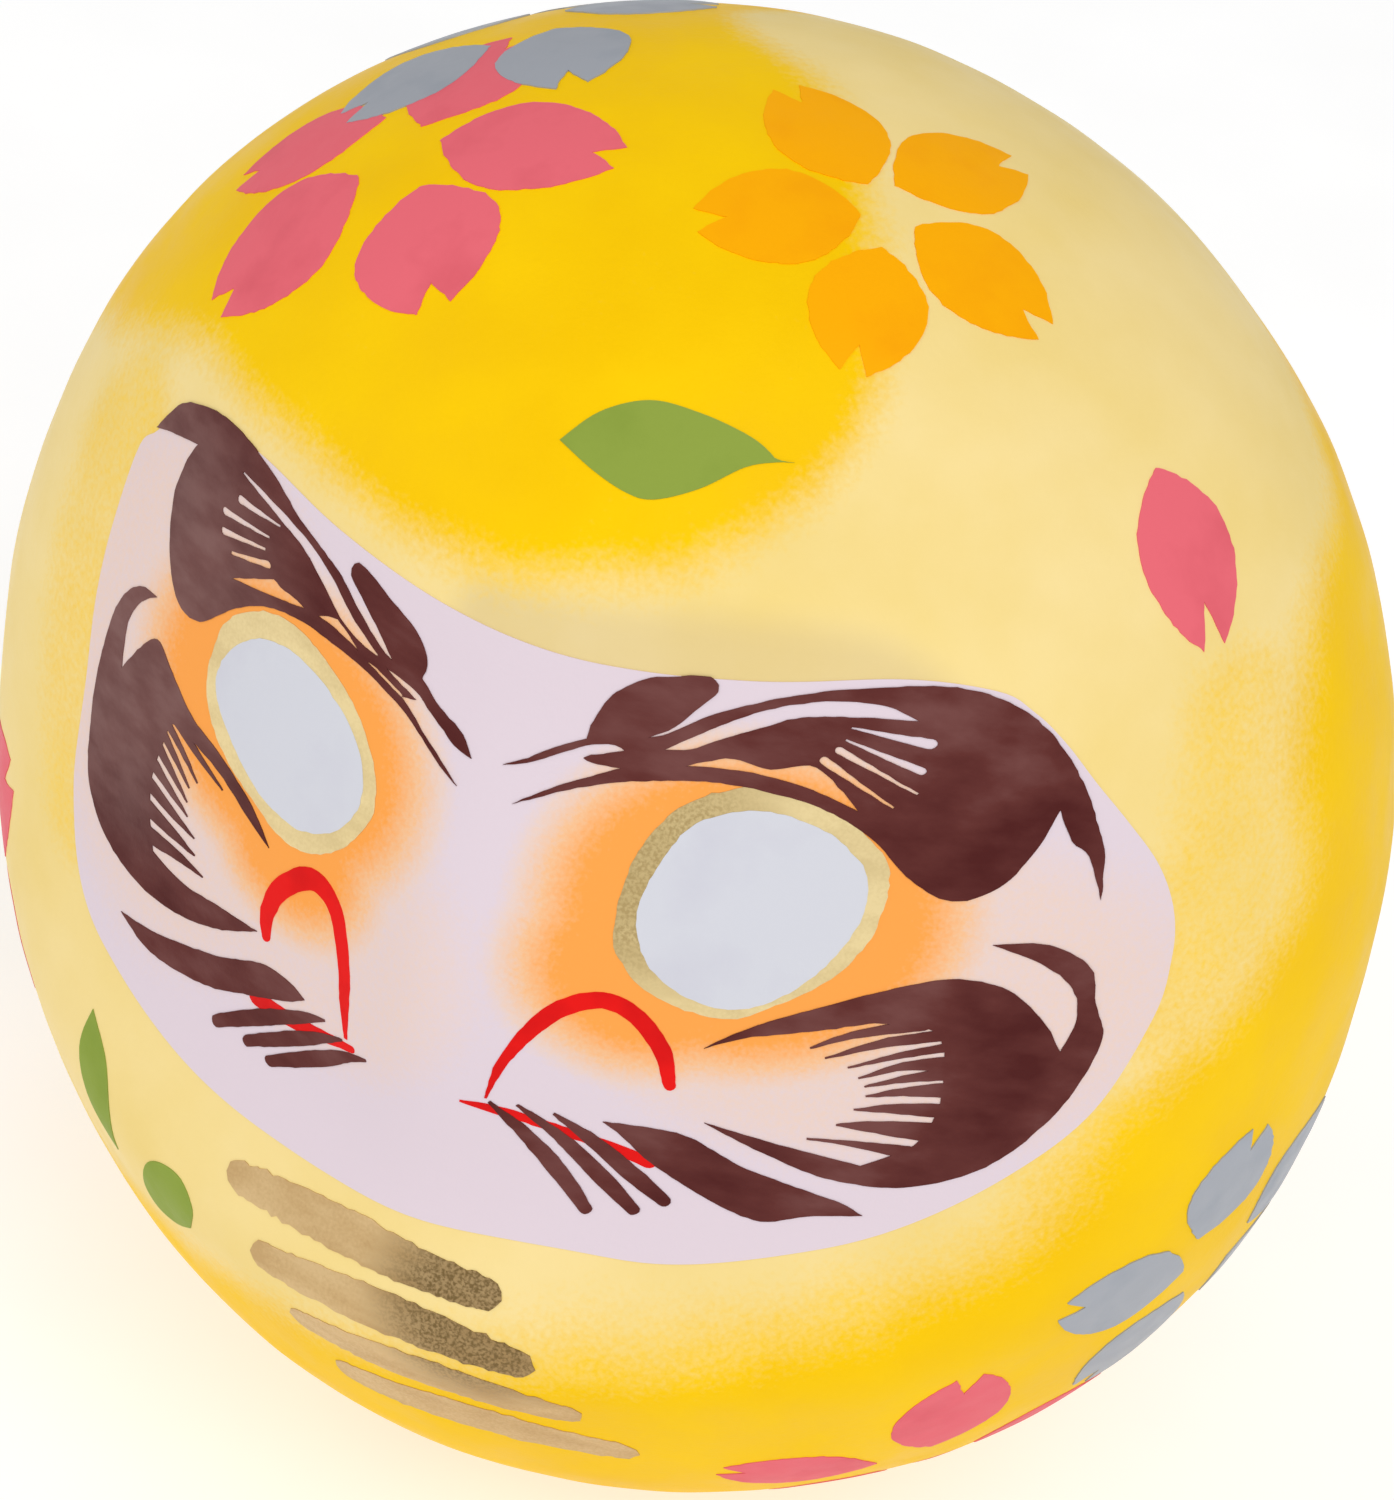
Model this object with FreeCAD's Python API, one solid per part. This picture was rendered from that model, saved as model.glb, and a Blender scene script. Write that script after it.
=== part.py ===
import FreeCAD, Part
import math
import os

# A daruma doll in millimetres: a hollow paper egg with a sunken face that stands on a clay weight.
# It faces -Y and stands on +Z. The origin is the middle of the footprint, on the ground.

os.makedirs("parts", exist_ok=True)

# The painted egg
HEIGHT = 200.0
WIDTH = 189.0
DEPTH = 169.0
MIDDLE_Z = 99.0            # height of the widest ring
BELLY_DROP = 100.0         # depth of the lower half if it were not cut flat
CROWN_POWER = 2.08         # 2 is a true ellipse, more is boxier
BELLY_POWER = 2.22
PLAN_POWER = 1.88

# The face, sunk into the front of the egg inside a low raised rim
FACE_HALF_WIDTH = 75.0
FACE_HALF_HEIGHT = 48.4
FACE_MIDDLE_Z = MIDDLE_Z + 12.0
FACE_POWER = 2.6
FACE_SINK = 12.0
RIM_RISE = 2.0
RIM_AT = 1.18              # 1 is the edge of the face
RIM_SPREAD = 0.16
RELIEF_ENDS_AT = 1.8
NOSE_RISE = 3.4
NOSE_HALF_WIDTH = 12.0
NOSE_HALF_HEIGHT = 32.0
NOSE_BELOW_FACE_MIDDLE = 6.0
FRONT_FADE = 30.0          # the relief fades to nothing within this distance of the side seam

# Layers, from the outside in
COAT = 0.8                 # chalk ground with the paint on it
SKIN = 0.5                 # paper pasted over the joined body
WALL = 2.4                 # moulded paper pulp

# The foot
DISC_THICKNESS = 0.5
DISC_RADIUS = 20.0
STICK_HOLE_RADIUS = 3.0    # the clay weight is held on a stick while the doll is dipped
WEIGHT_TOP_Z = 15.0        # the paper walls stand on the weight at this height
PLUG_TOP_Z = 27.0          # the weight's plug reaches this far up inside the walls
GLUE = 1.2                 # gap between plug and wall, filled with hide glue
DISH_RADIUS = 30.0
DISH_DEPTH = 7.0

# The paper strip inside, glued over the joint of the two halves
STRIP = 0.5
STRIP_WIDTH = 16.0
STRIP_START_Z = PLUG_TOP_Z + 1.0

# Control points of the egg's surface
ROWS = 60
COLUMNS = 96
LOWEST_CLIMB = math.radians(-86)
HIGHEST_CLIMB = math.radians(89)
FAR = 400.0


def superellipse(angle, power):
    """The point of a unit superellipse that lies in the direction of angle."""
    across = math.cos(angle)
    along = math.sin(angle)
    size = (abs(across) ** power + abs(along) ** power) ** (1 / power)
    return across / size, along / size


def face_relief(x, y, z):
    """How far the surface moves outwards at a point of the plain egg."""
    if y >= 0:
        return 0.0
    across = abs(x) / FACE_HALF_WIDTH
    along = abs(z - FACE_MIDDLE_Z) / FACE_HALF_HEIGHT
    edge = (across ** FACE_POWER + along ** FACE_POWER) ** (1 / FACE_POWER)
    sink = FACE_SINK / (1 + edge ** 6.5)
    rim = RIM_RISE * math.exp(-((edge - RIM_AT) / RIM_SPREAD) ** 2)
    nose_z = FACE_MIDDLE_Z - NOSE_BELOW_FACE_MIDDLE
    nose_shape = (x / NOSE_HALF_WIDTH) ** 2 + ((z - nose_z) / NOSE_HALF_HEIGHT) ** 2
    nose = NOSE_RISE * math.exp(-nose_shape)
    front = 1 - math.exp(-(y / FRONT_FADE) ** 2)
    reach = max(0.0, 1 - (edge / RELIEF_ENDS_AT) ** 12) ** 2
    return front * reach * (rim + nose - sink)


def egg_point(turn, climb, inset):
    """A point of the egg. turn runs round the axis from +X, climb from the foot up to the crown."""
    power, rise = (CROWN_POWER, HEIGHT - MIDDLE_Z) if climb > 0 else (BELLY_POWER, BELLY_DROP)
    ring, height = superellipse(climb, power)
    across, along = superellipse(turn, PLAN_POWER)
    outer = FreeCAD.Vector(WIDTH / 2 * across * ring, DEPTH / 2 * along * ring, rise * height)
    plain = FreeCAD.Vector((WIDTH / 2 - inset) * across * ring,
                           (DEPTH / 2 - inset) * along * ring,
                           (rise - inset) * height + MIDDLE_Z)
    relief = face_relief(outer.x, outer.y, outer.z + MIDDLE_Z)
    return plain + outer.normalize() * relief


def egg(inset):
    """The whole egg as a solid, moved inwards by inset, with a small flat at each end."""
    poles = []
    for row in range(ROWS):
        climb = LOWEST_CLIMB + (HIGHEST_CLIMB - LOWEST_CLIMB) * row / (ROWS - 1)
        poles.append([egg_point(2 * math.pi * column / COLUMNS, climb, inset) for column in range(COLUMNS)])
    spans = ROWS - 3
    surface = Part.BSplineSurface()
    surface.buildFromPolesMultsKnots(poles, [4] + [1] * (spans - 1) + [4], [1] * (COLUMNS + 1),
                                     list(range(spans + 1)), list(range(COLUMNS + 1)), False, True, 3, 3)
    wall = surface.toShape()
    rings = [edge for edge in wall.Edges if edge.isClosed()]
    caps = [Part.Face(Part.Wire([edge])) for edge in rings]
    shell = Part.makeShell([wall] + caps)
    shell.sewShape()
    return Part.makeSolid(shell)


def slab(low_z, high_z):
    return Part.makeBox(FAR, FAR, high_z - low_z, FreeCAD.Vector(-FAR / 2, -FAR / 2, low_z))


def half_space(front):
    near_y = -FAR if front else 0.0
    return Part.makeBox(FAR, FAR, FAR, FreeCAD.Vector(-FAR / 2, near_y, -FAR / 2))


def cylinder(radius, low_z, high_z):
    return Part.makeCylinder(radius, high_z - low_z, FreeCAD.Vector(0, 0, low_z))


def ground_coat(body, under_coat):
    """The coat wraps the whole doll, down to the flat of the foot."""
    outside = body.common(slab(DISC_THICKNESS, HEIGHT + 1))
    inside = under_coat.common(slab(DISC_THICKNESS + COAT, HEIGHT))
    return outside.cut(inside).cut(cylinder(STICK_HOLE_RADIUS, -1, 10))


def paper_skin(under_coat, under_skin):
    outside = under_coat.common(slab(DISC_THICKNESS + COAT, HEIGHT))
    inside = under_skin.common(slab(DISC_THICKNESS + COAT + SKIN, HEIGHT))
    return outside.cut(inside).cut(cylinder(STICK_HOLE_RADIUS, -1, 10))


def body_half(under_skin, hollow, front):
    wall = under_skin.cut(hollow).common(slab(WEIGHT_TOP_Z, HEIGHT))
    return wall.common(half_space(front))


def seam_strip(hollow, inside_strip):
    band = Part.makeBox(FAR, STRIP_WIDTH, FAR, FreeCAD.Vector(-FAR / 2, -STRIP_WIDTH / 2, STRIP_START_Z))
    return hollow.cut(inside_strip).common(band)


def base_weight(under_skin, inside_glue):
    """A cake of pressed clay: the rounded foot, and a plug with a dished top inside the walls."""
    foot = under_skin.common(slab(DISC_THICKNESS + COAT + SKIN, WEIGHT_TOP_Z))
    plug = inside_glue.common(slab(WEIGHT_TOP_Z - 1, PLUG_TOP_Z))
    dish = Part.makeCone(DISH_RADIUS - DISH_DEPTH, DISH_RADIUS, DISH_DEPTH,
                         FreeCAD.Vector(0, 0, PLUG_TOP_Z - DISH_DEPTH))
    stick_hole = cylinder(STICK_HOLE_RADIUS, -1, PLUG_TOP_Z)
    return foot.fuse(plug).removeSplitter().cut(dish).cut(stick_hole)


def glue_ring(hollow, inside_glue):
    return hollow.cut(inside_glue).common(slab(WEIGHT_TOP_Z, PLUG_TOP_Z))


def base_disc():
    return cylinder(DISC_RADIUS, 0, DISC_THICKNESS)


def build():
    body = egg(0)
    under_coat = egg(COAT)
    under_skin = egg(COAT + SKIN)
    hollow = egg(COAT + SKIN + WALL)
    inside_strip = egg(COAT + SKIN + WALL + STRIP)
    inside_glue = egg(COAT + SKIN + WALL + GLUE)
    return {
        "ground_coat": ground_coat(body, under_coat),
        "paper_skin": paper_skin(under_coat, under_skin),
        "shell_front": body_half(under_skin, hollow, True),
        "shell_back": body_half(under_skin, hollow, False),
        "seam_strip": seam_strip(hollow, inside_strip),
        "glue_ring": glue_ring(hollow, inside_glue),
        "base_weight": base_weight(under_skin, inside_glue),
        "base_disc": base_disc(),
    }


for node, shape in build().items():
    shape.exportStep(os.path.join("parts", node + ".step"))
    box = shape.BoundBox
    print(node, "valid", shape.isValid(), "solids", len(shape.Solids), "volume", round(shape.Volume / 1000, 2),
          "box", [round(v, 2) for v in (box.XMin, box.XMax, box.YMin, box.YMax, box.ZMin, box.ZMax)])
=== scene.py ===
import bpy
import math
import numpy as np
from mathutils import Matrix, Vector, noise
from mathutils.bvhtree import BVHTree
from mathutils.geometry import delaunay_2d_cdt


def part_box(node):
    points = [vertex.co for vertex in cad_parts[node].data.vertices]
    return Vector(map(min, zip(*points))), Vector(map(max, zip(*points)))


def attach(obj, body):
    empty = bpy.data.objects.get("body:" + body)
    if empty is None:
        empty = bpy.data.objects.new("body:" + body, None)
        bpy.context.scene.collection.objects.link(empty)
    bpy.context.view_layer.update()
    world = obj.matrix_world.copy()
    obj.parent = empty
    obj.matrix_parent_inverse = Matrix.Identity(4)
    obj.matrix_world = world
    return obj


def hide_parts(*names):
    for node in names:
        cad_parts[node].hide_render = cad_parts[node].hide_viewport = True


# The looks of the daruma doll. The doll faces -Y and stands on +Z.
# Shapes are worked out in millimetres and turned into metres when a mesh is made.

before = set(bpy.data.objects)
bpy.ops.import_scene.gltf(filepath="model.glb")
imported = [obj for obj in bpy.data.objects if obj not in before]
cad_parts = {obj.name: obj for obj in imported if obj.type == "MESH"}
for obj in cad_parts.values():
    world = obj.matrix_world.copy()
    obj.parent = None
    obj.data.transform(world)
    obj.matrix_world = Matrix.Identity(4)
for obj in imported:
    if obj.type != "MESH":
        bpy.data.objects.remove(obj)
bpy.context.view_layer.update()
MM = 0.001

coat_low, coat_high = (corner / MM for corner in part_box("ground_coat"))
HALF_WIDTH = coat_high.x
HALF_DEPTH = coat_high.y
TOP_Z = coat_high.z
FOOT_Z = coat_low.z

# The egg, by the same formula as the CAD part
MIDDLE_Z = 0.495 * TOP_Z
BELLY_DROP = 0.5 * TOP_Z
MIDDLE = Vector((0, 0, MIDDLE_Z))
CROWN_POWER = 2.08
BELLY_POWER = 2.22
PLAN_POWER = 1.88
COAT = 0.8
STICK_HOLE_RADIUS = 3.0

# The sunken face
FACE_HALF_WIDTH = 75.0
FACE_HALF_HEIGHT = 48.4
FACE_MIDDLE_Z = MIDDLE_Z + 12.0
FACE_POWER = 2.6
FACE_SINK = 12.0
RIM_RISE = 2.0
RIM_AT = 1.18
RIM_SPREAD = 0.16
RELIEF_ENDS_AT = 1.8
NOSE_RISE = 3.4
NOSE_HALF_WIDTH = 12.0
NOSE_HALF_HEIGHT = 32.0
NOSE_BELOW_FACE_MIDDLE = 6.0
FRONT_FADE = 30.0

# Fineness of the body mesh
COLUMNS = 360
OUTER_ROWS = 190
INNER_ROWS = 48
LUMP_HEIGHT = 0.35         # the hand-coated surface is slightly uneven
LUMP_SIZE = 26.0
CROWN_CLIMB = math.radians(89.9)
SETTLE_SHARE = 1 / 12      # the lumps fade out over this lowest share of the outside

# Height of each layer of paint over the body
FACE_LAYER = 0.10
GOLD_RIM_LAYER = 0.16
EYE_LAYER = 0.20
RED_LAYER = 0.17
BROWN_LAYER = 0.22
FLOWER_LAYER = 0.12
OVER_FLOWER_LAYER = 0.18
PAINT_ROOT = 0.25          # the paint pieces reach this far into the coat
EDGE_STEP = 0.9
GRID_STEP = 1.5


# ---------------------------------------------------------------- the body

def superellipse(angle, power):
    """The point of a unit superellipse that lies in the direction of angle."""
    across = math.cos(angle)
    along = math.sin(angle)
    size = (abs(across) ** power + abs(along) ** power) ** (1 / power)
    return across / size, along / size


def face_relief(x, y, z):
    """How far the surface moves outwards at a point of the plain egg."""
    if y >= 0:
        return 0.0
    across = abs(x) / FACE_HALF_WIDTH
    along = abs(z - FACE_MIDDLE_Z) / FACE_HALF_HEIGHT
    edge = (across ** FACE_POWER + along ** FACE_POWER) ** (1 / FACE_POWER)
    sink = FACE_SINK / (1 + edge ** 6.5)
    rim = RIM_RISE * math.exp(-((edge - RIM_AT) / RIM_SPREAD) ** 2)
    nose_z = FACE_MIDDLE_Z - NOSE_BELOW_FACE_MIDDLE
    nose_shape = (x / NOSE_HALF_WIDTH) ** 2 + ((z - nose_z) / NOSE_HALF_HEIGHT) ** 2
    nose = NOSE_RISE * math.exp(-nose_shape)
    front = 1 - math.exp(-(y / FRONT_FADE) ** 2)
    reach = max(0.0, 1 - (edge / RELIEF_ENDS_AT) ** 12) ** 2
    return front * reach * (rim + nose - sink)


def egg_point(turn, climb, inset):
    """A point of the egg, moved inwards by inset. turn runs round from +X, climb from the foot up."""
    power, rise = (CROWN_POWER, TOP_Z - MIDDLE_Z) if climb > 0 else (BELLY_POWER, BELLY_DROP)
    ring, height = superellipse(climb, power)
    across, along = superellipse(turn, PLAN_POWER)
    outer = Vector((HALF_WIDTH * across * ring, HALF_DEPTH * along * ring, rise * height))
    plain = Vector(((HALF_WIDTH - inset) * across * ring,
                    (HALF_DEPTH - inset) * along * ring,
                    (rise - inset) * height + MIDDLE_Z))
    relief = face_relief(outer.x, outer.y, outer.z + MIDDLE_Z)
    return plain + outer.normalized() * relief


def foot_climb(z, inset):
    """The climb at which the belly, moved inwards by inset, comes down to height z."""
    height = (MIDDLE_Z - z) / (BELLY_DROP - inset)
    ring = (1 - height ** BELLY_POWER) ** (1 / BELLY_POWER)
    return math.atan2(-height, ring)


def lumps(point):
    """The small unevenness of the coat, in millimetres."""
    broad = noise.noise(point / LUMP_SIZE)
    fine = noise.noise(point / (LUMP_SIZE / 3))
    return LUMP_HEIGHT * (broad + 0.3 * fine)


def coat_profile(turn):
    """One upright cut through the coat: down the outside, under the foot and up the inside."""
    points = []
    top = CROWN_CLIMB
    low = foot_climb(FOOT_Z, 0)
    for row in range(OUTER_ROWS + 1):
        share = row / OUTER_ROWS
        point = egg_point(turn, top + (low - top) * share, 0)
        settled = min(1.0, (1 - share) / SETTLE_SHARE)
        points.append(point + (point - MIDDLE).normalized() * lumps(point) * settled)
    hole = Vector((math.cos(turn), math.sin(turn), 0)) * STICK_HOLE_RADIUS
    points.append(hole + Vector((0, 0, FOOT_Z)))
    points.append(hole + Vector((0, 0, FOOT_Z + COAT)))
    low = foot_climb(FOOT_Z + COAT, COAT)
    for row in range(INNER_ROWS + 1):
        points.append(egg_point(turn, low + (top - low) * row / INNER_ROWS, COAT))
    return points


def new_mesh(name, points, faces, material, sharp_angle=35):
    """An object from points in millimetres."""
    mesh = bpy.data.meshes.new(name)
    mesh.from_pydata([Vector(point) * MM for point in points], [], faces)
    mesh.polygons.foreach_set("use_smooth", [True] * len(mesh.polygons))
    mesh.update()
    mesh.set_sharp_from_angle(angle=math.radians(sharp_angle))
    mesh.materials.append(material)
    piece = bpy.data.objects.new(name, mesh)
    bpy.context.scene.collection.objects.link(piece)
    return piece


def body_shape():
    """Points and faces of the whole coat, a closed shell with the stick hole as its only opening."""
    profiles = [coat_profile(2 * math.pi * column / COLUMNS) for column in range(COLUMNS)]
    length = len(profiles[0])
    points = [point for profile in profiles for point in profile]
    faces = []
    for column in range(COLUMNS):
        here = column * length
        there = (column + 1) % COLUMNS * length
        for row in range(length - 1):
            faces.append((here + row, here + row + 1, there + row + 1, there + row))
    faces.append([column * length for column in range(COLUMNS)])
    faces.append([column * length + length - 1 for column in reversed(range(COLUMNS))])
    return points, faces


# ---------------------------------------------------------------- outlines

def smooth_line(points, closed=False):
    """A Catmull-Rom curve through points of any size, cut into short steps."""
    points = [Vector(point) for point in points]
    count = len(points)
    spans = count if closed else count - 1
    line = []
    for i in range(spans):
        if closed:
            before, start, end, after = (points[(i + k) % count] for k in (-1, 0, 1, 2))
        else:
            start, end = points[i], points[i + 1]
            before = points[i - 1] if i else start
            after = points[i + 2] if i + 2 < count else end
        steps = max(2, math.ceil((end - start).to_2d().length / EDGE_STEP))
        for step in range(steps):
            t = step / steps
            line.append(0.5 * (2 * start + (end - before) * t
                               + (2 * before - 5 * start + 4 * end - after) * t ** 2
                               + (3 * start - before - 3 * end + after) * t ** 3))
    return line if closed else line + [points[-1]]


def loop(points):
    """A closed outline with no corners."""
    return smooth_line(points, closed=True)


def cornered(arcs):
    """A closed outline of smooth arcs. Each arc starts at a corner and runs to the next arc's start."""
    line = []
    for i, arc in enumerate(arcs):
        line += smooth_line(list(arc) + [arcs[(i + 1) % len(arcs)][0]])[:-1]
    return line


def stroke(points):
    """The outline of a brush stroke. Each point is its middle and the stroke's width there."""
    line = smooth_line(points)
    left, right = [], []
    for i, point in enumerate(line):
        ahead = line[min(i + 1, len(line) - 1)] - line[max(i - 1, 0)]
        side = Vector((-ahead.y, ahead.x)).normalized() * point.z / 2
        left.append(point.to_2d() + side)
        right.append(point.to_2d() - side)
    return left + round_end(line[-1], left[-1]) + right[::-1] + round_end(line[0], right[0])


def round_end(middle, start):
    """Points of a half circle round middle, from start clockwise."""
    arm = start - middle.to_2d()
    if arm.length < 0.3:
        return []
    return [middle.to_2d() + Matrix.Rotation(-math.pi * k / 6, 2) @ arm for k in range(1, 6)]


def mottle(outline, seed, amount=0.12):
    """The slightly ragged edge that a brush leaves."""
    return [point.to_2d() + amount * noise.noise_vector(Vector((point.x, point.y, seed * 7.0))).to_2d()
            for point in outline]


def inside(point, outline):
    """True if the point is within the closed outline."""
    odd = False
    x, y = point[0], point[1]
    for (ax, ay), (bx, by) in zip(outline, outline[1:] + outline[:1]):
        if (ay > y) != (by > y) and x < (bx - ax) * (y - ay) / (by - ay) + ax:
            odd = not odd
    return odd


def plane_mesh(added, cut):
    """A flat triangle mesh over the added outlines, less the cut ones."""
    points, edges = [], []
    for outline in added + cut:
        first = len(points)
        count = len(outline)
        points += [Vector(point) for point in outline]
        edges += [(first + i, first + (i + 1) % count) for i in range(count)]
    added = [[tuple(point) for point in outline] for outline in added]
    cut = [[tuple(point) for point in outline] for outline in cut]
    low_x, high_x = (pick(point.x for point in points) for pick in (min, max))
    low_y, high_y = (pick(point.y for point in points) for pick in (min, max))
    for i in range(1, int((high_x - low_x) / GRID_STEP) + 1):
        for j in range(1, int((high_y - low_y) / GRID_STEP) + 1):
            point = (low_x + (i + 0.5 * (j % 2)) * GRID_STEP, low_y + j * GRID_STEP)
            if any(inside(point, outline) for outline in added):
                points.append(Vector(point))
    made = delaunay_2d_cdt(points, edges, [], 0, 1e-4)
    flat, triangles = made[0], made[2]
    kept = []
    for triangle in triangles:
        middle = sum((flat[i] for i in triangle), Vector((0, 0))) / 3
        if any(inside(middle, outline) for outline in added) and not any(inside(middle, o) for o in cut):
            kept.append(tuple(triangle))
    return flat, kept


# ---------------------------------------------------------------- paint laid on the body

def front_ray(point):
    """The ray that carries a point of the front view, x and z, straight back on to the body."""
    return Vector((point[0], -3 * HALF_DEPTH, point[1])), Vector((0, 1, 0))


def round_ray(place):
    """Rays for a flat drawing laid on the body at place, with the drawing's x along the body's X."""
    normal = (Vector(place) - MIDDLE).normalized()
    across = (Vector((1, 0, 0)) - normal.x * normal).normalized()
    along = normal.cross(across)
    reach = (Vector(place) - MIDDLE).length

    def ray(point):
        outwards = (normal * reach + across * point[0] + along * point[1]).normalized()
        return MIDDLE + outwards * 3 * HALF_WIDTH, -outwards

    return ray


def paint(name, parts, layer, material):
    """One painted piece. parts holds (ray, added outlines, cut outlines) for each patch of it."""
    points, faces = [], []
    for ray, added, cut in parts:
        flat, triangles = plane_mesh(added, cut)
        used = sorted({i for triangle in triangles for i in triangle})
        place = {old: len(points) + new for new, old in enumerate(used)}
        hits = [body_tree.ray_cast(*ray(flat[i])) for i in used]
        depth = len(used)
        points += [hit[0] + hit[1] * layer for hit in hits]
        points += [hit[0] - hit[1] * PAINT_ROOT for hit in hits]
        edges = set()
        for triangle in triangles:
            a, b, c = (place[i] for i in triangle)
            faces.append((a, b, c))
            faces.append((c + depth, b + depth, a + depth))
            edges |= {(a, b), (b, c), (c, a)}
        for a, b in sorted(edges):
            if (b, a) not in edges:
                faces.append((b, a, a + depth, b + depth))
    piece = new_mesh(name, points, faces, material)
    turn_outwards(piece)
    finish_piece(piece)
    return piece


def turn_outwards(piece):
    """Makes every face look out of the piece."""
    bpy.context.view_layer.objects.active = piece
    bpy.ops.object.mode_set(mode="EDIT")
    bpy.ops.mesh.select_all(action="SELECT")
    bpy.ops.mesh.normals_make_consistent(inside=False)
    bpy.ops.object.mode_set(mode="OBJECT")


def finish_piece(piece):
    """Every painted piece rides on the doll."""
    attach(piece, "root")


# ---------------------------------------------------------------- materials

class Shader:
    """A material with a Principled shader, and short ways to add the nodes that feed it."""

    def __init__(self, name, colour, roughness):
        self.material = bpy.data.materials.new(name)
        self.material.use_nodes = True
        self.tree = self.material.node_tree
        self.surface = self.tree.nodes["Principled BSDF"]
        self.surface.inputs["Base Color"].default_value = linear(colour)
        self.surface.inputs["Roughness"].default_value = roughness
        self.surface.inputs["Specular IOR Level"].default_value = 0.05
        self.place = self.tree.nodes.new("ShaderNodeTexCoord").outputs["Object"]

    def node(self, kind, **settings):
        made = self.tree.nodes.new(kind)
        for key, value in settings.items():
            setattr(made, key, value)
        return made

    def feed(self, source, target):
        """Links source to target if it is a socket, or sets it as a value."""
        if isinstance(source, bpy.types.NodeSocket):
            self.tree.links.new(source, target)
        else:
            target.default_value = source

    def stretched(self, scale):
        mapping = self.node("ShaderNodeMapping")
        mapping.inputs["Scale"].default_value = scale
        self.feed(self.place, mapping.inputs["Vector"])
        return mapping.outputs["Vector"]

    def noise(self, size, detail=3.0, stretch=None):
        """Noise from 0 to 1 whose blobs are about size millimetres."""
        made = self.node("ShaderNodeTexNoise")
        made.inputs["Scale"].default_value = 1 / (size * MM)
        made.inputs["Detail"].default_value = detail
        self.feed(self.stretched(stretch) if stretch else self.place, made.inputs["Vector"])
        return made.outputs["Fac"]

    def attribute(self, name):
        return self.node("ShaderNodeAttribute", attribute_name=name).outputs["Fac"]

    def math(self, operation, first, second):
        made = self.node("ShaderNodeMath", operation=operation)
        self.feed(first, made.inputs[0])
        self.feed(second, made.inputs[1])
        return made.outputs[0]

    def ramp(self, source, stops):
        """A colour for each value of source. stops are (position, sRGB colour)."""
        made = self.node("ShaderNodeValToRGB")
        elements = made.color_ramp.elements
        while len(elements) < len(stops):
            elements.new(0.5)
        for element, (position, colour) in zip(elements, stops):
            element.position = position
            element.color = linear(colour)
        self.feed(source, made.inputs["Fac"])
        return made.outputs["Color"]

    def span(self, source, low, high, to_low=0.0, to_high=1.0):
        """source from low to high becomes a smooth change from to_low to to_high."""
        made = self.node("ShaderNodeMapRange", interpolation_type="SMOOTHSTEP")
        for key, value in zip(("From Min", "From Max", "To Min", "To Max"), (low, high, to_low, to_high)):
            made.inputs[key].default_value = value
        self.feed(source, made.inputs["Value"])
        return made.outputs["Result"]

    def shade(self, amount, first, second, blend="MIX"):
        made = self.node("ShaderNodeMix", data_type="RGBA", blend_type=blend)
        self.feed(amount, made.inputs["Factor"])
        self.feed(first, made.inputs["A"])
        self.feed(second, made.inputs["B"])
        return made.outputs["Result"]

    def near(self, place, full, gone):
        """1 within full millimetres of place, falling to 0 at gone millimetres."""
        made = self.node("ShaderNodeVectorMath", operation="DISTANCE")
        self.feed(self.place, made.inputs[0])
        made.inputs[1].default_value = Vector(place) * MM
        return self.span(made.outputs["Value"], full * MM, gone * MM, 1.0, 0.0)

    def set(self, name, source):
        self.feed(source, self.surface.inputs[name])

    def bump(self, source, height):
        """Grain that stands height millimetres proud."""
        made = self.node("ShaderNodeBump")
        made.inputs["Distance"].default_value = height * MM
        made.inputs["Strength"].default_value = 1.0
        self.feed(source, made.inputs["Height"])
        self.set("Normal", made.outputs["Normal"])


def linear(colour):
    """A colour in sRGB steps of 0 to 255 as Blender's linear RGBA."""
    shares = (channel / 255 for channel in colour)
    return tuple(s / 12.92 if s <= 0.04045 else ((s + 0.055) / 1.055) ** 2.4 for s in shares) + (1.0,)


STRONG_YELLOW = (250, 205, 8)
FACE_WHITE = (221, 206, 215)
FACE_PEACH = (229, 204, 194)
GLOW_FADE = (240, 190, 146)
GLOW_ORANGE = (248, 162, 76)
EYE_WHITE = (208, 209, 217)


def yellow_paint():
    """Cream ground with strong yellow sprayed over part of it, greyed by a painted shade just above the face.
    """
    s = Shader("yellow_paint", STRONG_YELLOW, 0.42)
    speckle = s.math("MULTIPLY", s.math("SUBTRACT", s.noise(0.8, 2), 0.5), 0.5)
    drift = s.math("MULTIPLY", s.math("SUBTRACT", s.noise(14, 3), 0.5), 0.3)
    amount = s.span(s.math("ADD", s.math("ADD", s.attribute("spray"), speckle), drift), 0.1, 0.9)
    pale = s.ramp(s.noise(22, 4), [(0.3, (238, 211, 132)), (0.7, (243, 219, 152))])
    strong = s.ramp(s.noise(18, 4), [(0.3, (243, 194, 0)), (0.7, (249, 203, 0))])
    # Painted shade: along the band above the face the cream is mixed toward grey.
    shaded_pale = s.shade(s.math("MULTIPLY", s.attribute("painted_shade"), PAINTED_SHADE_STRENGTH), pale, linear(PAINTED_SHADE_GREY))
    s.set("Base Color", s.shade(amount, shaded_pale, strong))
    s.set("Roughness", s.span(s.noise(9, 3), 0.3, 0.7, 0.36, 0.50))
    s.bump(s.noise(0.9, 5), 0.05)
    return s.material


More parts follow.
